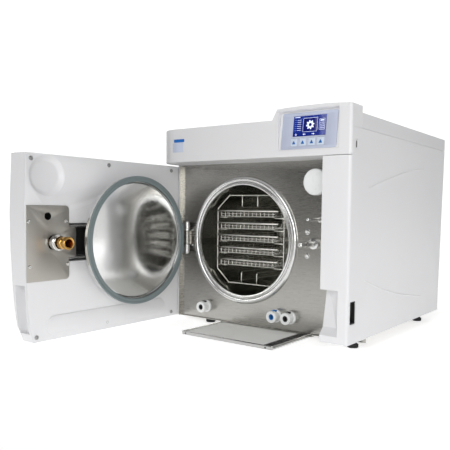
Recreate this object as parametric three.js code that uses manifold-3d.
// Benchtop steam autoclave with a side-hinged door, a five-tray rack and a pull-out filter drawer.
// Millimetres. X to the right, Y to the back, Z up. The floor is Z = 0 and the chamber axis is X = 0.
// It is modelled with the door open square to the front and the filter drawer pulled out.
import * as THREE from "three";
import { mergeVertices } from "three/addons/utils/BufferGeometryUtils.js";
import Module from "manifold-3d";

const wasm = await Module();
wasm.setup();

// ---------- driving dimensions ----------
const GAP = 0.3; // clearance between neighbouring parts
const WALL = 2.5; // moulded and painted covers
const SHEET = 1.5; // sheet steel

const CABINET = {
  left: -193,
  right: 310,
  front: -78, // front face of fascia and column
  bottom: 20, // lower edge of the side panels
  seam: 429, // joint between side panels and top cover
  coverTop: 458.5,
  rearFoot: 435.7, // rear edge at floor level
  rearLean: 0.0572, // rear edge leans back as it rises
  cornerLeft: 60,
  cornerRight: 6,
};
const FRONT_PLATE = { face: 10, bottom: 9.5, top: 424, flangeFront: 1 };
const FASCIA = {
  bottom: 377,
  lowTop: 451,
  highTop: 473,
  rampFrom: 134,
  rampTo: 145.5,
  back: -33,
};
const COLUMN = { left: 250.5, top: 376, gripBottom: 34, gripTop: 122, gripRight: 288, gripDepth: -50 };
const CHAMBER = { z: 202, bore: 125, wall: 3, depth: 350, front: 10, facets: 60 };
const FLANGE = { outer: 145.2, front: 2.6, rim: 6 };
const HINGE = { x: -157, y: -7, pin: 3.5, knuckle: 6.5, low: 166, high: 239 };
const DOOR = {
  openAngle: 90, // degrees from closed
  liner: -45, // inner face, closed
  front: -95, // outer face at mid height, closed
  left: -193,
  bottom: 9.5,
  top: 374.5,
  cornerLeft: 45,
};
const DISH = { outer: 127, rim: 8, gasketOuter: 139.6, gasketInner: 127.4, gasketDepth: 4, crown: 12 };
const NUT = { x: 186, z: 202.5, outer: 12.5, bore: 7.8, end: 2.7 };
const SPINDLE = { body: 6.8, nose: 5.2, tip: -48 };
const GUIDE = { x: 201, z: 254, radius: 3.5, tip: -47 };
const FILTER = { x: 205, z: 329.7, radius: 27, front: -28 };
const PORT = { z: 40, xs: { left: -106, middle: 95, right: 131 }, front: -15, radius: 13, bore: 6.5 };
const DRAWER = { left: -58, right: 174, front: -129, length: 209, bottom: 1.5, top: 8.2 };
const DISPLAY = { left: 154.5, right: 278, height: 72, z: 391, y: -76, tilt: 7, thick: 1.2 };
const LCD = { left: 180.5, right: 253.5, low: 25, high: 65 };
const KEY = { size: 15, xs: [184.5, 204.5, 224.5, 244], up: 13.5, thick: 1.6 };
const RACK = { front: 34, back: 320, wire: 1.6, wide: 94.5, high: 103, narrow: 59.5, low: 71.5 };
const TRAY = {
  count: 5,
  topZ: 270,
  pitch: 28.3,
  depth: 15,
  half: 79,
  handleHalf: 90,
  front: 19,
  back: 318,
  wire: 2.2,
};
const SWITCH = { front: -69, back: -46, low: 58, high: 101.5, depth: 18.5 };
const SLOT = { front: -63, back: -48, low: 388, high: 406 };
const FAN = { x: 235, z: 150, radius: 52, hub: 18, y: 405 };

// ---------- finishes ----------
function finish(color, roughness, metalness) {
  return new THREE.MeshStandardMaterial({ color, roughness, metalness });
}
const WHITE = finish(0xe4e4e6, 0.38, 0);
const SIDE_WHITE = finish(0xdcdcde, 0.42, 0);
const STEEL = finish(0x9a9790, 0.34, 1);
const POLISHED = finish(0xd4d4d2, 0.12, 1);
const WIRE = finish(0xb4b3ac, 0.28, 1);
const BRASS = finish(0xc89a48, 0.25, 1);
const BLACK = finish(0x151516, 0.5, 0);
const SEAL = finish(0x7f8b8b, 0.6, 0);
const PORT_WHITE = finish(0xe9edee, 0.35, 0);
const BLUE = finish(0x1f7fc0, 0.4, 0);
const OVERLAY = finish(0xc0c6d7, 0.4, 0);
const KEYCAP = finish(0xd9e1ec, 0.45, 0);
const SCREEN = finish(0x1c2a9c, 0.15, 0);
const FLEECE = finish(0xe2e2dc, 0.9, 0);
const INSULATION = finish(0xc9c2a8, 0.95, 0);
const COPPER = finish(0xb87850, 0.35, 1);
const BOARD = finish(0x1f6b3a, 0.6, 0);
const TANK = finish(0xdfe7ea, 0.3, 0);
const MOTOR = finish(0x3a3d42, 0.5, 0.6);

// ---------- solids ----------
// A three.js geometry as a manifold-3d solid whose faces point outwards.
function toSolid(geometry) {
  const bare = geometry.index ? geometry.toNonIndexed() : geometry.clone();
  bare.deleteAttribute("normal");
  bare.deleteAttribute("uv");
  const merged = mergeVertices(bare, 1e-4);
  const position = merged.attributes.position;
  const triVerts = new Uint32Array(merged.index.array);
  const corner = (i) => new THREE.Vector3().fromBufferAttribute(position, i);
  let volume = 0;
  for (let i = 0; i < triVerts.length; i += 3) {
    const [a, b, c] = [corner(triVerts[i]), corner(triVerts[i + 1]), corner(triVerts[i + 2])];
    volume += a.dot(b.cross(c));
  }
  if (volume < 0) {
    for (let i = 0; i < triVerts.length; i += 3) {
      [triVerts[i + 1], triVerts[i + 2]] = [triVerts[i + 2], triVerts[i + 1]];
    }
  }
  const vertProperties = new Float32Array(position.array);
  return new wasm.Manifold(new wasm.Mesh({ numProp: 3, vertProperties, triVerts }));
}

function block([x0, x1], [y0, y1], [z0, z1]) {
  const geometry = new THREE.BoxGeometry(x1 - x0, y1 - y0, z1 - z0);
  return toSolid(geometry.translate((x0 + x1) / 2, (y0 + y1) / 2, (z0 + z1) / 2));
}

// Outline corners are [u, v] or [u, v, radius]. Returns plain points with each radius turned into an arc.
function outlineOf(corners, steps = 6) {
  return corners.flatMap(([u, v, radius], i) => {
    const here = new THREE.Vector2(u, v);
    if (!radius) return [here];
    const last = corners.at(i - 1);
    const next = corners[(i + 1) % corners.length];
    const back = new THREE.Vector2(last[0], last[1]).sub(here).normalize();
    const ahead = new THREE.Vector2(next[0], next[1]).sub(here).normalize();
    const half = Math.acos(back.dot(ahead)) / 2;
    const centre = back.clone().add(ahead).setLength(radius / Math.sin(half)).add(here);
    const from = back.clone().multiplyScalar(radius / Math.tan(half)).add(here).sub(centre);
    const to = ahead.clone().multiplyScalar(radius / Math.tan(half)).add(here).sub(centre);
    const sweep = Math.atan2(from.cross(to), from.dot(to));
    return Array.from({ length: steps + 1 }, (_, k) =>
      from.clone().rotateAround(new THREE.Vector2(), (sweep * k) / steps).add(centre),
    );
  });
}

// Extrudes an outline along an axis. It is drawn in (y, z) for x, in (x, z) for y and in (x, y) for z.
function prism(axis, corners, [from, to], holes = [], steps = 6) {
  const shape = new THREE.Shape(outlineOf(corners, steps));
  for (const hole of holes) shape.holes.push(new THREE.Path(outlineOf(hole, steps)));
  const geometry = new THREE.ExtrudeGeometry(shape, { depth: to - from, bevelEnabled: false });
  const [X, Y, Z] = [[1, 0, 0], [0, 1, 0], [0, 0, 1]].map((v) => new THREE.Vector3(...v));
  const frames = { x: [Y, Z, X], y: [X, Z, Y.clone().negate()], z: [X, Y, Z] };
  geometry.applyMatrix4(new THREE.Matrix4().makeBasis(...frames[axis]));
  const start = { x: [from, 0, 0], y: [0, to, 0], z: [0, 0, from] }[axis];
  return toSolid(geometry.translate(...start));
}

function rectangle([u0, u1], [v0, v1], radius = 0) {
  return [[u0, v0, radius], [u1, v0, radius], [u1, v1, radius], [u0, v1, radius]];
}

function circle(u, v, radius, facets = 24) {
  return Array.from({ length: facets }, (_, k) => {
    const angle = (2 * Math.PI * k) / facets;
    return [u + radius * Math.cos(angle), v + radius * Math.sin(angle)];
  });
}

// Revolves a [radius, distance] profile about an axis that passes through the point at.
function turned(profile, at, axis = "y", facets = 24) {
  const points = profile.map(([radius, along]) => new THREE.Vector2(radius, along));
  if (profile[0][0] > 0) points.push(points[0].clone());
  const geometry = new THREE.LatheGeometry(points, facets);
  if (axis === "z") geometry.rotateX(Math.PI / 2);
  if (axis === "x") geometry.rotateZ(-Math.PI / 2);
  return toSolid(geometry.translate(...at));
}

function rod(radius, [from, to], at, axis = "y", facets = 24) {
  return turned([[0, from], [radius, from], [radius, to], [0, to]], at, axis, facets);
}

// A ring about the chamber axis.
function ring([inner, outer], [from, to], facets = CHAMBER.facets) {
  const profile = [[inner, from], [outer, from], [outer, to], [inner, to]];
  return turned(profile, [0, 0, CHAMBER.z], "y", facets);
}

// The outline of a strip of the given thickness to the right of a path of [u, v] points.
function strip(path, thickness) {
  const points = outlineOf(path.map((p, i) => (i && i < path.length - 1 ? p : [p[0], p[1]])));
  const normal = (a, b) => new THREE.Vector2(b.y - a.y, a.x - b.x).normalize();
  const inner = points.map((p, i) => {
    const before = normal(points[Math.max(i - 1, 0)], points[Math.max(i, 1)]);
    const after = normal(points[Math.min(i, points.length - 2)], points[Math.min(i + 1, points.length - 1)]);
    const mitre = before.clone().add(after).normalize();
    return mitre.multiplyScalar(thickness / mitre.dot(after)).add(p);
  });
  return [...points, ...inner.reverse()].map((p) => [p.x, p.y]);
}

function union(...solids) {
  return solids.flat().reduce((all, next) => all.add(next));
}

function rearAt(z) {
  return CABINET.rearFoot + CABINET.rearLean * z;
}

// ---------- the object ----------
const autoclave = new THREE.Group();
const pivot = new THREE.Group(); // turns the door about its pin
const door = new THREE.Group(); // the door's parts where they are when it is closed
pivot.position.set(HINGE.x, HINGE.y, 0);
pivot.rotation.z = -THREE.MathUtils.degToRad(DOOR.openAngle);
door.position.set(-HINGE.x, -HINGE.y, 0);
pivot.add(door);
autoclave.add(pivot);

function part(name, solid, material, parent = autoclave) {
  const { numProp, vertProperties, triVerts } = solid.getMesh();
  const corners = new Float32Array(triVerts.length * 3);
  triVerts.forEach((v, i) => corners.set(vertProperties.subarray(v * numProp, v * numProp + 3), i * 3));
  const geometry = new THREE.BufferGeometry();
  geometry.setAttribute("position", new THREE.BufferAttribute(corners, 3));
  geometry.computeVertexNormals();
  const mesh = new THREE.Mesh(geometry, material);
  mesh.name = name;
  parent.add(mesh);
}

// Base plate with two saddles under the chamber, an intake under the condenser and the drawer's rails.
function basePlate() {
  const floor = [CABINET.bottom, CABINET.bottom + 2];
  const plate = block([CABINET.left + WALL + GAP, CABINET.right - WALL - GAP], [12, 431.5], floor);
  const intake = Array.from({ length: 6 }, (_, k) =>
    block([175 + 20 * k, 185 + 20 * k], [330, 400], [CABINET.bottom - 1, CABINET.bottom + 3]),
  );
  const saddles = [70, 290].map((y) => {
    const web = block([-100, 100], [y, y + 3], [CABINET.bottom + 1, 110]);
    return web.subtract(rod(151, [y - 1, y + 4], [0, 0, CHAMBER.z], "y", 48));
  });
  const rails = [DRAWER.left - 5, DRAWER.right + 5].map((x, side) => {
    const inward = side ? -1 : 1;
    const web = [x - SHEET / 2, x + SHEET / 2];
    const lip = side ? [x - 5, x + SHEET / 2] : [x - SHEET / 2, x + 5];
    return union(
      block(web.map((v) => v - inward * 2), [14, 430], [3, CABINET.bottom + 1]),
      block(lip.map((v) => v - inward * 2), [14, 430], [3, 4.2]),
    );
  });
  return union(plate.subtract(union(intake)), saddles, rails);
}

// Stainless plate behind the door: openings for the chamber, lock shaft, air filter and three ports.
function frontPlate() {
  const { face, bottom, top, flangeFront } = FRONT_PLATE;
  const [left, right] = [CABINET.left + WALL + GAP, CABINET.right - WALL - GAP];
  const holes = [
    circle(0, CHAMBER.z, CHAMBER.bore + CHAMBER.wall + 1, CHAMBER.facets),
    circle(NUT.x, NUT.z, 8.5),
    circle(FILTER.x, FILTER.z, 9),
    ...Object.values(PORT.xs).map((x) => circle(x, PORT.z, 8.5)),
  ];
  return union(
    prism("y", rectangle([left, right], [bottom, top]), [face, face + SHEET], holes),
    block([left, left + SHEET], [flangeFront, face + 1], [bottom, FASCIA.bottom - 2]),
    block([left, COLUMN.left - 4], [flangeFront + 4, face + 1], [bottom, bottom + SHEET]),
  );
}

// Limits a side panel to the leaning rear edge.
function rearTrim() {
  const side = [[-200, 0], [rearAt(0), 0], [rearAt(480), 480], [-200, 480]];
  return prism("x", side, [CABINET.left - 5, CABINET.right + 5]);
}

// The finger grip in the column: cornered in plan and shallower towards its lower ledge.
function columnGrip(offset) {
  const { left, gripRight, gripDepth, gripBottom, gripTop } = COLUMN;
  const front = CABINET.front;
  const plan = [
    [left - 10, gripDepth + offset],
    [left + offset / 2, gripDepth + offset],
    [left + 12, gripDepth - 4 + offset],
    [left + 24 + offset / 2, gripDepth - 11 + offset],
    [gripRight - 5 + offset, front + 12 + offset / 2],
    [gripRight + offset, front],
    [gripRight + offset, front - 10],
    [left - 10, front - 10],
  ];
  const side = [
    [front - 10, gripBottom - offset],
    [front + offset / 2, gripBottom - offset],
    [front + 13.5 + offset, gripBottom + 14 - offset / 2],
    [gripDepth + offset, gripTop + offset],
    [front - 10, gripTop + offset],
  ];
  const tall = prism("z", plan, [gripBottom - offset, gripTop + offset]);
  return tall.intersect(prism("x", side, [left - 12, gripRight + 5]));
}

// Front column and right side in one moulding, wrapped round the front corner.
function rightHousing() {
  const { left, right, front, bottom, seam, cornerRight } = { ...CABINET, left: COLUMN.left };
  const inside = FRONT_PLATE.face - 2 * GAP;
  const path = [[left, inside], [left, front], [right, front, cornerRight], [right, 470]];
  const wrap = strip(path.reverse(), WALL);
  const solidPlan = [[left, inside], [left, front], [right, front, cornerRight], [right, inside]];
  const foot = prism("z", solidPlan, [bottom, bottom + WALL]);
  const gripBacking = prism("z", solidPlan, [bottom, COLUMN.top]).intersect(columnGrip(WALL));
  const upperSide = block([right - WALL, right], [front + cornerRight + 0.5, 470], [COLUMN.top - 1, seam - GAP]);
  const shell = union(prism("z", wrap, [bottom, COLUMN.top]), foot, gripBacking, upperSide);
  const recess = [SWITCH, SLOT].map((r) => block([right - 9, right + 5], [r.front, r.back], [r.low, r.high]));
  return shell.subtract(columnGrip(0)).subtract(union(recess)).intersect(rearTrim());
}

function fasciaPlan(inset) {
  const { left, right, front, cornerLeft, cornerRight } = CABINET;
  const back = inset ? FRONT_PLATE.face + 20 : FRONT_PLATE.face - 2 * GAP;
  return [
    [left + inset, back],
    [left + inset, front + inset, cornerLeft - inset],
    [right - inset, front + inset, cornerRight - inset],
    [right - inset, back],
  ];
}

// The fascia's front elevation: low on the left, raised round the display on the right.
function fasciaElevation(inset) {
  const { bottom, lowTop, highTop, rampFrom, rampTo } = FASCIA;
  return [
    [CABINET.left - 5, bottom + inset],
    [CABINET.right + 5, bottom + inset],
    [CABINET.right + 5, highTop - 2.5 - inset],
    [264, highTop + 1 - inset],
    [199, highTop + 1 - inset],
    [rampTo + inset / 2, highTop - 1 - inset],
    [rampFrom + inset / 2, lowTop - inset],
    [CABINET.left - 5, lowTop - inset],
  ];
}

function controlFascia() {
  const body = (inset) =>
    prism("z", fasciaPlan(inset), [FASCIA.bottom - 2, FASCIA.highTop + 5], [], 8).intersect(
      prism("y", fasciaElevation(inset), [CABINET.front - 5, 40]),
    );
  const behindCover = block([CABINET.left - 5, CABINET.right + 5], [FASCIA.back, 40], [CABINET.seam - GAP, 490]);
  const besideHousing = block(
    [CABINET.right - WALL - GAP, CABINET.right + 5],
    [CABINET.front + CABINET.cornerRight + 0.2, 40],
    [FASCIA.bottom - 5, CABINET.seam],
  );
  const besidePanel = block([CABINET.left - 5, CABINET.left + WALL + GAP], [1 - GAP, 40], [370, 490]);
  const backStrip = block(
    [CABINET.left + WALL, CABINET.right - WALL],
    [FASCIA.back - WALL, FASCIA.back],
    [CABINET.seam - 8, FASCIA.lowTop - 1],
  );
  const lining = union(backStrip, displayHousing()).intersect(body(0));
  const shell = union(body(0).subtract(body(WALL)), lining);
  return shell
    .subtract(behindCover)
    .subtract(besideHousing)
    .subtract(besidePanel)
    .subtract(displayPocket());
}

// ---------- display, drawn upright at the origin of its own tilted plane ----------
function tilted(solid) {
  return solid.rotate([-DISPLAY.tilt, 0, 0]).translate([0, DISPLAY.y, DISPLAY.z]);
}

function displayHousing() {
  const { left, right, height } = DISPLAY;
  return tilted(block([left - 8.5, right + 8.5], [-30, WALL], [-4.5, height + 5.5]));
}

function displayPocket() {
  const { left, right, height, thick } = DISPLAY;
  const seat = block([left - 6, right + 6], [-thick - 30, 0], [-2, height + 3]);
  const window = block([left + 8, right - 8], [-5, 30], [5, height - 5]);
  return tilted(union(seat, window));
}

function keyAt(x, clearance) {
  const half = KEY.size / 2 + clearance;
  const depth = clearance ? 5 : 0;
  return block([x - half, x + half], [-DISPLAY.thick - 0.5 - depth, 0.4 + depth], [KEY.up - half, KEY.up + half]);
}

function displayPanel() {
  const { left, right, height, thick } = DISPLAY;
  const plate = prism("y", rectangle([left, right], [0, height], 3), [-thick - GAP, -GAP], [], 3);
  const lcd = block([LCD.left - GAP, LCD.right + GAP], [-9, 9], [LCD.low - GAP, LCD.high + GAP]);
  return tilted(plate.subtract(lcd).subtract(union(KEY.xs.map((x) => keyAt(x, GAP)))));
}

// ---------- top cover, left side and back ----------
function topCover() {
  const { left, right, seam, coverTop } = CABINET;
  const rear = rearAt(seam);
  const outer = block([left, right], [FASCIA.back + GAP, rear], [seam + GAP, coverTop]);
  const inner = block(
    [left + WALL, right - WALL],
    [FASCIA.back + GAP + WALL, rear - WALL],
    [seam - 1, coverTop - WALL],
  );
  return outer.subtract(inner);
}

function leftSide() {
  const { left, bottom, seam } = CABINET;
  return block([left, left + WALL], [FRONT_PLATE.flangeFront, 470], [bottom, seam - GAP]).intersect(rearTrim());
}

function rearPanel() {
  const { left, right, bottom, seam } = CABINET;
  const [low, high] = [bottom + 0.5, seam - 1];
  const side = [[rearAt(low) - 4, low], [rearAt(low) - 2.5, low], [rearAt(high) - 2.5, high], [rearAt(high) - 4, high]];
  const panel = prism("x", side, [left + WALL + GAP, right - WALL - GAP]);
  const grille = Array.from({ length: 9 }, (_, k) => {
    const offset = 10.5 * (k - 4);
    const half = Math.sqrt(FAN.radius ** 2 - offset ** 2);
    return block([FAN.x - half, FAN.x + half], [425, 470], [FAN.z + offset - 3, FAN.z + offset + 3]);
  });
  const inlet = block([-135.3, -84.7], [425, 470], [46.7, 79.3]);
  const valve = rod(9, [425, 470], [-60, 0, 330]);
  return panel.subtract(union(grille)).subtract(inlet).subtract(valve);
}

// ---------- chamber ----------
function chamberVessel() {
  const { bore, wall, depth, front } = CHAMBER;
  const back = front + depth - 7;
  const profile = [
    [0, back],
    [bore - 15, back - 5],
    [bore, back - 22],
    [bore, front],
    [bore + wall, front],
    [bore + wall, back - 20],
    [bore - 13, back - 2],
    [0, back + wall],
  ];
  return turned(profile, [0, 0, CHAMBER.z], "y", CHAMBER.facets);
}

function chamberFlange() {
  const { outer, front, rim } = FLANGE;
  const back = CHAMBER.front - GAP;
  const profile = [
    [CHAMBER.bore, front + 1],
    [CHAMBER.bore + 1.5, front],
    [outer - 5, front],
    [outer, rim],
    [outer, back],
    [CHAMBER.bore, back],
  ];
  return turned(profile, [0, 0, CHAMBER.z], "y", CHAMBER.facets);
}

// ---------- lock hardware on the front plate ----------
function lockMotor() {
  const box = block([164, 214], [13, 96], [176, 229]);
  const can = rod(17, [95, 140], [NUT.x, 0, NUT.z]);
  return union(box, can).subtract(rod(SPINDLE.body + 1, [10, 45], [NUT.x, 0, NUT.z]));
}

function lockSpindle() {
  const { body, nose, tip } = SPINDLE;
  const profile = [
    [0, 40],
    [body, 40],
    [body, FRONT_PLATE.face - GAP],
    [11.5, FRONT_PLATE.face - GAP],
    [12, 4.5],
    [body, 3.6],
    [body, -26],
    [nose, -29],
    [nose, tip + 1],
    [3, tip],
    [3, tip + 6],
    [0, tip + 6],
  ];
  return turned(profile, [NUT.x, 0, NUT.z]);
}

function guidePin() {
  const { x, z, radius, tip } = GUIDE;
  const back = FRONT_PLATE.face - GAP;
  const profile = [
    [0, back],
    [7, back],
    [7, back - 4],
    [radius, back - 5],
    [radius, tip + 2],
    [radius - 1.5, tip],
    [0, tip],
  ];
  return turned(profile, [x, 0, z], "y", 16);
}

function airFilter() {
  const { x, z, radius, front } = FILTER;
  const profile = [
    [0, front],
    [radius - 4, front],
    [radius, front + 3],
    [radius, front + 12],
    [radius - 7, front + 15],
    [radius - 7, FRONT_PLATE.face - GAP],
    [7, FRONT_PLATE.face - GAP],
    [7, 26],
    [3, 26],
    [3, 5],
    [0, 5],
  ];
  return turned(profile, [x, 0, z], "y", 28);
}

function portBody(x) {
  const { z, front, radius, bore } = PORT;
  const back = FRONT_PLATE.face - GAP;
  const profile = [
    [bore, front + 1],
    [radius - 1, front],
    [radius, front + 2],
    [radius, front + 9],
    [radius - 1.5, front + 10],
    [radius - 1.5, back - 5],
    [radius + 1, back - 5],
    [radius + 1, back],
    [7.8, back],
    [7.8, 30],
    [bore, 30],
  ];
  const latchSeat = block([x - 5, x + 5], [front + 10, back - 6], [z + bore + 1.5, z + 20]);
  return turned(profile, [x, 0, z], "y", 20).subtract(latchSeat);
}

function portLatch(x) {
  const low = PORT.z + PORT.bore + 1.5;
  return block([x - 4.6, x + 4.6], [PORT.front + 10.4, 3.3], [low + 1.7, PORT.z + PORT.radius + 0.8]);
}

// ---------- hinge ----------
const HINGE_JOINTS = [HINGE.low, 186, 219, HINGE.high]; // heights where door and cabinet knuckles meet

function knuckle(low, high) {
  const profile = [[HINGE.pin + 0.3, low], [HINGE.knuckle, low], [HINGE.knuckle, high], [HINGE.pin + 0.3, high]];
  return turned(profile, [HINGE.x, HINGE.y, 0], "z", 24);
}

function hingeBracket() {
  const [, low, high] = HINGE_JOINTS;
  const back = FRONT_PLATE.face - GAP;
  const leaf = prism("y", rectangle([-168, -146.5], [176, 229], 2), [back - 3, back], [], 2);
  const web = block([HINGE.x - 6, HINGE.x - 1], [HINGE.y + 4.6, back - 1], [low + GAP, high - GAP]);
  return union(knuckle(low + GAP, high - GAP), web, leaf);
}

function hingeLeaf() {
  const [low, midLow, midHigh, high] = HINGE_JOINTS;
  const ears = [[low, midLow - GAP], [midHigh + GAP, high]];
  const webs = ears.map(([a, b]) => block([HINGE.x - 3, HINGE.x + 3], [-60, HINGE.y - 4.6], [a, b]));
  const arm = block([HINGE.x - 3, HINGE.x + 3], [-66, -46], [low, high]);
  const seat = block([HINGE.x - 3, HINGE.x + 30], [-66, -61], [178, 226]);
  return union(ears.map(([a, b]) => knuckle(a, b)), webs, arm, seat);
}

// ---------- door, in its closed position ----------
// The free edge bows out at mid height and runs in towards the bottom.
function doorElevation(inset) {
  const { left, bottom, top } = DOOR;
  const edge = [[-8, bottom], [2, 40], [5.5, 76], [8, 120], [10.5, 180], [12, 260], [10.5, 320], [9, top]];
  const right = edge.map(([bow, z]) => [238 + bow - inset, Math.min(Math.max(z, bottom + inset), top - inset)]);
  return [[left + inset, top - inset], [left + inset, bottom + inset], ...right];
}

// Outer surface seen from the side: fullest at mid height.
function doorProfile(inset, back) {
  const { bottom, top, front } = DOOR;
  const bulge = [[12, bottom], [6, 50], [1.5, 130], [0, 210], [1, 300], [3, top]];
  return [
    [back, top - inset],
    [back, bottom + inset],
    ...bulge.map(([y, z]) => [front + y + inset, Math.min(Math.max(z, bottom + inset), top - inset)]),
  ];
}

function doorBlank(inset, back) {
  const { left, front, cornerLeft } = DOOR;
  const plan = [
    [left + inset, back],
    [left + inset, front + inset, cornerLeft - inset],
    [262, front + inset],
    [262, back],
  ];
  return prism("y", doorElevation(inset), [front - 5, back])
    .intersect(prism("x", doorProfile(inset, back), [left - 5, 265]))
    .intersect(prism("z", plan, [0, 400]));
}

const DOOR_GRIP = { x: 222, y: [-84, -52], z: [26, 121] };

function doorOuterShell() {
  const back = DOOR.liner - WALL - GAP;
  const { x, y, z } = DOOR_GRIP;
  const grow = ([a, b]) => [a - WALL, b + WALL];
  const pocketWalls = block([x - WALL, 270], grow(y), grow(z)).intersect(doorBlank(0, back));
  const shell = union(doorBlank(0, back).subtract(doorBlank(WALL, back + 1)), pocketWalls);
  return shell.subtract(block([x, 270], y, z));
}

function doorInnerLiner() {
  const { liner } = DOOR;
  const holes = [
    rectangle([100, 214], [163, 240], 4),
    rectangle([HINGE.x - 4, HINGE.x + 6], [HINGE.low - 2, HINGE.high + 2]),
    circle(GUIDE.x, GUIDE.z, 8, 16),
    circle(0, CHAMBER.z, 30, 32),
  ];
  const plate = prism("y", doorElevation(0.4), [liner - WALL, liner], holes);
  const dimple = turned([[0, -7], [24, -7], [35, 3], [0, 3]], [FILTER.x, liner, 328], "y", 32);
  const dimpleBack = turned([[0, -9], [25, -9], [36, -1], [0, -1]], [FILTER.x, liner, 328], "y", 32);
  const emboss = prism("y", rectangle([-95, 203], [20, 58], 18), [liner - 1, liner + 1.5]);
  return union(plate, dimpleBack, emboss).subtract(dimple);
}

// The dish that closes the chamber: crowned towards it, with a rolled rim that carries the gasket.
function doorPlate() {
  const { outer, rim, crown } = DISH;
  const front = -DISH.gasketDepth;
  const profile = [
    [0, front + crown],
    [35, front + crown * 0.93],
    [70, front + crown * 0.72],
    [100, front + crown * 0.42],
    [outer - 0.6, front],
    [outer + 12, front],
    [outer + 12, front - rim],
    [outer + 9.5, front - rim],
    [outer + 9.5, front - 3],
    [outer - 12, front - 4],
    [60, front - 8],
    [24, front - 9],
    [24, -62],
    [0, -62],
  ];
  return turned(profile, [0, 0, CHAMBER.z], "y", CHAMBER.facets);
}

function doorGasket() {
  const { gasketOuter, gasketInner, gasketDepth } = DISH;
  const profile = [
    [gasketInner, 0],
    [gasketOuter - 1.5, 0],
    [gasketOuter, -1.5],
    [gasketOuter, -gasketDepth + 0.5],
    [gasketInner, -gasketDepth + 0.5],
  ];
  return turned(profile, [0, 0, CHAMBER.z], "y", CHAMBER.facets);
}

// A channel section that carries the dish and the lock nut.
function doorCrossbar() {
  const bar = block([-124, 226], [-86, -62.5], [174, 229]);
  const trough = block([-123, 225], [-66, -60], [180, 223]);
  const seat = block([-126, -100], [-67, -60], [172, 231]);
  return union(bar.subtract(trough), block([170, 204], [-70, -54], [186, 219])).subtract(seat);
}

function latchPlate() {
  const y = [DOOR.liner + GAP, DOOR.liner + GAP + SHEET];
  const outline = [
    [247, 128],
    [247, 275],
    [152.5, 275, 8],
    [152.5, 232],
    [136, 232, 3],
    [136, 172, 3],
    [152.5, 172],
    [152.5, 128, 8],
  ];
  const holes = [rectangle([172, 200], [189, 216], 8), circle(GUIDE.x, GUIDE.z, 7.5, 16)];
  return prism("y", outline, y, holes, 3);
}

function brassNut() {
  const { x, z, outer, bore, end } = NUT;
  const profile = [
    [bore + 1.5, end],
    [outer, end],
    [outer, end - 9],
    [outer - 2.5, end - 10],
    [outer - 2.5, end - 14],
    [outer - 1, end - 15],
    [outer - 1, -53.7],
    [bore, -53.7],
    [bore, end - 2],
  ];
  return turned(profile, [x, 0, z], "y", 28);
}

function nutBush() {
  const { x, z, outer } = NUT;
  const profile = [[outer, -41], [17.5, -41], [17.5, -35], [outer, -33]];
  return turned(profile, [x, 0, z], "y", 28);
}

// ---------- chamber contents ----------
function bar(a, b, size) {
  const [p, q] = [new THREE.Vector3(...a), new THREE.Vector3(...b)];
  const geometry = new THREE.BoxGeometry(size, size, p.distanceTo(q) + size);
  const turn = new THREE.Quaternion().setFromUnitVectors(new THREE.Vector3(0, 0, 1), q.clone().sub(p).normalize());
  geometry.applyQuaternion(turn);
  return toSolid(geometry.translate(...p.add(q).multiplyScalar(0.5)));
}

function trayLevel(k) {
  return TRAY.topZ - TRAY.pitch * k;
}

// Two octagonal wire frames joined by runners, with shelf wires on both sides, above and below.
function trayRack() {
  const { front, back, wire, wide, high, narrow, low } = RACK;
  const half = wire;
  const z = CHAMBER.z;
  const octagon = (grow) =>
    [[narrow, -high], [wide, -low], [wide, low], [narrow, high], [-narrow, high], [-wide, low], [-wide, -low], [-narrow, -high]]
      .map(([u, v]) => [u + Math.sign(u) * grow, z + v + Math.sign(v) * grow]);
  const frames = [front, back].map((y) => prism("y", octagon(half / 2), [y - half, y + half], [octagon(-half - 0.5)]));
  const runner = ([x, height]) => block([x - half, x + half], [front, back], [height - half, height + half]);
  const runners = [[narrow, -high], [narrow, high], [-narrow, high], [-narrow, -high]].map(([u, v]) =>
    runner([u, z + v + Math.sign(v) * 1.2]),
  );
  const shelves = Array.from({ length: TRAY.count }, (_, k) => trayLevel(k) - TRAY.depth - half - GAP).flatMap((height) =>
    [-1, 1].flatMap((side) => {
      const inner = side * 67;
      const outer = side * wide;
      const reach = [Math.min(inner, outer), Math.max(inner, outer)];
      const cross = (y) => block(reach, [y - half, y + half], [height - half, height + half]);
      return [runner([inner, height]), cross(front), cross(back)];
    }),
  );
  const dividers = [-22, 22].flatMap((x) =>
    [-1, 1].flatMap((side) => {
      const reach = [z + side * high, z + side * (high - 27)].sort((a, b) => a - b);
      const post = (y) => block([x - half, x + half], [y - half, y + half], reach);
      return [post(front), post(back), runner([x, side > 0 ? reach[0] : reach[1]])];
    }),
  );
  return union(frames, runners, shelves, dividers);
}

// A basket with slotted walls and floor, and a rim bar across the front that serves as its handle.
function tray(level) {
  const { half, handleHalf, front, back, depth, wire } = TRAY;
  const bottom = level - depth;
  const outer = block([-half, half], [front + 1, back], [bottom, level]);
  const inner = block([-half + wire, half - wire], [front + 1 + wire, back - wire], [bottom + wire, level + 1]);
  const columns = 3;
  const rows = 5;
  const cell = (2 * half - 2 * wire) / columns;
  const run = (back - front - 1 - 2 * wire) / rows;
  const floorHoles = Array.from({ length: columns * rows }, (_, k) => {
    const x = -half + wire + cell * (k % columns);
    const y = front + 1 + wire + run * Math.floor(k / columns);
    return block([x + 1.5, x + cell - 1.5], [y + 1.5, y + run - 1.5], [bottom - 1, bottom + wire + 1]);
  });
  const handle = block([-handleHalf, handleHalf], [front - wire, front + 1.5], [level - wire, level]);
  return union(outer.subtract(inner).subtract(union(floorHoles)), handle);
}

// ---------- filter drawer ----------
const MAT = { right: 151.5, margin: 4.5 };

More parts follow.
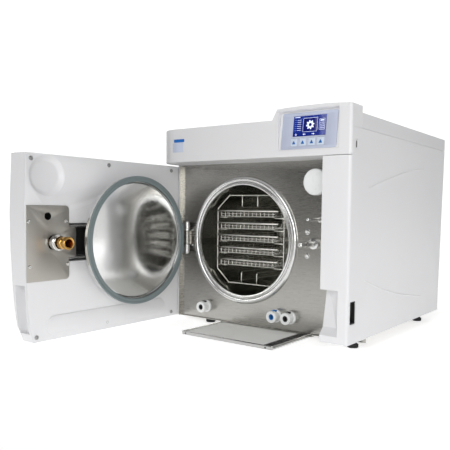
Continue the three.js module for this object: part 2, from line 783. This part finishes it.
function filterDrawer() {
  const { left, right, front, length, bottom, top } = DRAWER;
  const back = front + length;
  const frame = block([left, right], [front, back], [bottom, top]);
  const pocket = block(
    [left + MAT.margin - GAP, MAT.right + GAP],
    [front + MAT.margin - GAP, back - MAT.margin + GAP],
    [bottom + 1.5, top + 1],
  );
  const slots = Array.from({ length: 11 }, (_, k) =>
    block([MAT.right + 4, right - 4], [front + 8 + 18 * k, front + 20 + 18 * k], [bottom - 1, top + 1]),
  );
  const flanges = block([left - 3.5, right + 3.5], [front + 6, back], [4.7, 6]);
  const runnersOnly = block([left + 1, right - 1], [front, back + 1], [0, 10]);
  return union(frame.subtract(pocket).subtract(union(slots)), flanges.subtract(runnersOnly));
}

function filterMat() {
  const { left, front, length, bottom, top } = DRAWER;
  const y = [front + MAT.margin, front + length - MAT.margin];
  return block([left + MAT.margin, MAT.right], y, [bottom + 1.5 + GAP, top - 0.6]);
}

// ---------- right side controls ----------
function switchHousing() {
  const { front, back, low, high, depth } = SWITCH;
  const x = [CABINET.right - depth, CABINET.right - 1];
  const shell = block(x, [front + GAP, back - GAP], [low + GAP, high - GAP]);
  const well = block([x[0] + 2.5, x[1] + 5], [front + 2.3, back - 2.3], [low + 2.3, high - 2.3]);
  return shell.subtract(well);
}

const ROCKER = { x: 301, tilt: 8 };

function powerRocker() {
  const y = [SWITCH.front + 3.2, SWITCH.back - 3.2];
  const z = (SWITCH.low + SWITCH.high) / 2;
  const paddle = prism("y", [[-3, -15], [1, -16], [3.5, 0], [1, 16], [-3, 15]], y);
  return paddle.rotate([0, ROCKER.tilt, 0]).translate([ROCKER.x, 0, z]);
}

function memorySlot() {
  const { front, back, low, high } = SLOT;
  const body = block([CABINET.right - 8, CABINET.right - 0.4], [front + GAP, back - GAP], [low + GAP, high - GAP]);
  return body.subtract(block([CABINET.right - 6, CABINET.right + 1], [front + 5, back - 5.5], [low + 3, high - 3]));
}

function foot(x, y) {
  const top = CABINET.bottom - GAP;
  const profile = [[0, 0], [10, 0], [11.5, 1.5], [11.5, 7], [8, 9], [8, top], [0, top]];
  return turned(profile, [x, y, 0], "z", 20);
}

// ---------- inside the cabinet ----------
function waterReservoir() {
  const outer = block([-178, 150], [60, 400], [358, 424]);
  const halves = [[-175, -16], [-12, 147]].map((x) => block(x, [63, 397], [361, 421]));
  const fillers = [-95, 68].map((x) => rod(20, [415, 430], [x, 230, 0], "z"));
  return outer.subtract(union(halves)).subtract(union(fillers));
}

function vacuumPump() {
  return union(
    rod(38, [120, 230], [230, 0, 80], "y", 20),
    rod(26, [225, 270], [230, 0, 80], "y", 20),
    block([196, 264], [135, 215], [CABINET.bottom + 2 + GAP, 60]),
    block([212, 248], [100, 122], [62, 128]),
  );
}

function condenser() {
  const core = block([168, 302], [335, 375], [70, 232]);
  const gaps = Array.from({ length: 10 }, (_, k) =>
    block([172, 298], [334, 376], [78 + 15 * k, 86 + 15 * k]),
  );
  return core.subtract(union(gaps));
}

function coolingFan() {
  const { x, z, radius, hub, y } = FAN;
  const blades = Array.from({ length: 5 }, (_, k) => {
    const blade = block([hub - 4, radius - 6], [-1, 1], [-12, 12]).rotate([35, 0, 0]);
    return blade.rotate([0, 72 * k, 0]).translate([x, y + 10, z]);
  });
  return union(rod(hub, [y, y + 20], [x, 0, z]), blades);
}

function controlBoard() {
  const plate = block([166, 276], [-52, -50], [386, 446]);
  const chips = [[180, 400], [215, 430], [250, 405]].map(([x, z]) => block([x - 8, x + 8], [-50.5, -44], [z - 6, z + 6]));
  return union(plate, chips);
}

function mainsInlet() {
  const body = block([-135, -85], [412, 440], [47, 79]);
  const socket = block([-128, -92], [420, 441], [53, 73]);
  const pins = [-120, -110, -100].map((x) => block([x - 1, x + 1], [419, 436], [60, 64]));
  return union(body.subtract(socket), pins);
}

function safetyValve() {
  const profile = [[0, 425], [8, 425], [8, 453.6], [11, 453.6], [11, 460], [6, 463], [6, 468], [0, 468]];
  return turned(profile, [-60, 0, 330], "y", 16);
}

// ---------- assembly ----------
part("base_plate", basePlate(), STEEL);
part("front_plate", frontPlate(), STEEL);
part("right_housing", rightHousing(), SIDE_WHITE);
part("control_fascia", controlFascia(), WHITE);
part("left_side_panel", leftSide(), SIDE_WHITE);
part("top_cover", topCover(), SIDE_WHITE);
part("rear_panel", rearPanel(), STEEL);
part("foot_front_left", foot(-104, 22), BLACK);
part("foot_front_right", foot(284, 0), BLACK);
part("foot_rear_left", foot(-104, 360), BLACK);
part("foot_rear_right", foot(284, 360), BLACK);

part("chamber_vessel", chamberVessel(), STEEL);
part("chamber_flange", chamberFlange(), POLISHED);
part("heater_band", ring([128.6, 131.6], [60, 290], 48), COPPER);
part("chamber_insulation", ring([132.4, 150], [40, 310], 48), INSULATION);

part("lock_motor", lockMotor(), MOTOR);
part("lock_spindle", lockSpindle(), POLISHED);
part("guide_pin", guidePin(), POLISHED);
part("air_filter", airFilter(), PORT_WHITE);
for (const [side, x] of Object.entries(PORT.xs)) {
  part("port_" + side, portBody(x), PORT_WHITE);
  part("port_latch_" + side, portLatch(x), side === "middle" ? BLUE : BLACK);
}

part("display_panel", displayPanel(), OVERLAY);
part(
  "lcd_screen",
  tilted(block([LCD.left, LCD.right], [-DISPLAY.thick, 3], [LCD.low, LCD.high])),
  SCREEN,
);
KEY.xs.forEach((x, i) => part("key_" + (i + 1), tilted(keyAt(x, 0)), KEYCAP));

part("memory_slot", memorySlot(), BLACK);
part("switch_housing", switchHousing(), BLACK);
part("power_rocker", powerRocker(), BLACK);

part("hinge_bracket", hingeBracket(), STEEL);
part("hinge_pin", rod(HINGE.pin, [HINGE.low - 2, HINGE.high + 2], [HINGE.x, HINGE.y, 0], "z"), POLISHED);

part("water_reservoir", waterReservoir(), TANK);
part("vacuum_pump", vacuumPump(), MOTOR);
part("condenser", condenser(), COPPER);
part("cooling_fan", coolingFan(), BLACK);
part("control_board", controlBoard(), BOARD);
part("mains_inlet", mainsInlet(), BLACK);
part("safety_valve", safetyValve(), BRASS);

part("door_outer_shell", doorOuterShell(), WHITE, door);
part("door_inner_liner", doorInnerLiner(), WHITE, door);
part("door_hinge_leaf", hingeLeaf(), STEEL, door);
part("door_plate", doorPlate(), POLISHED, door);
part("door_gasket", doorGasket(), SEAL, door);
part("door_crossbar", doorCrossbar(), BLACK, door);
part("latch_plate", latchPlate(), STEEL, door);
part("brass_nut", brassNut(), BRASS, door);
part("nut_bush", nutBush(), POLISHED, door);

part("tray_rack", trayRack(), WIRE);
for (let k = 0; k < TRAY.count; k += 1) {
  part("tray_" + (k + 1), tray(trayLevel(k)), WIRE);
}

part("filter_drawer", filterDrawer(), STEEL);
part("filter_mat", filterMat(), FLEECE);

// The origin is the centre of the object's base.
const bounds = new THREE.Box3().setFromObject(autoclave);
const middle = bounds.getCenter(new THREE.Vector3());
autoclave.position.set(-middle.x, -middle.y, -bounds.min.z);

export default autoclave;
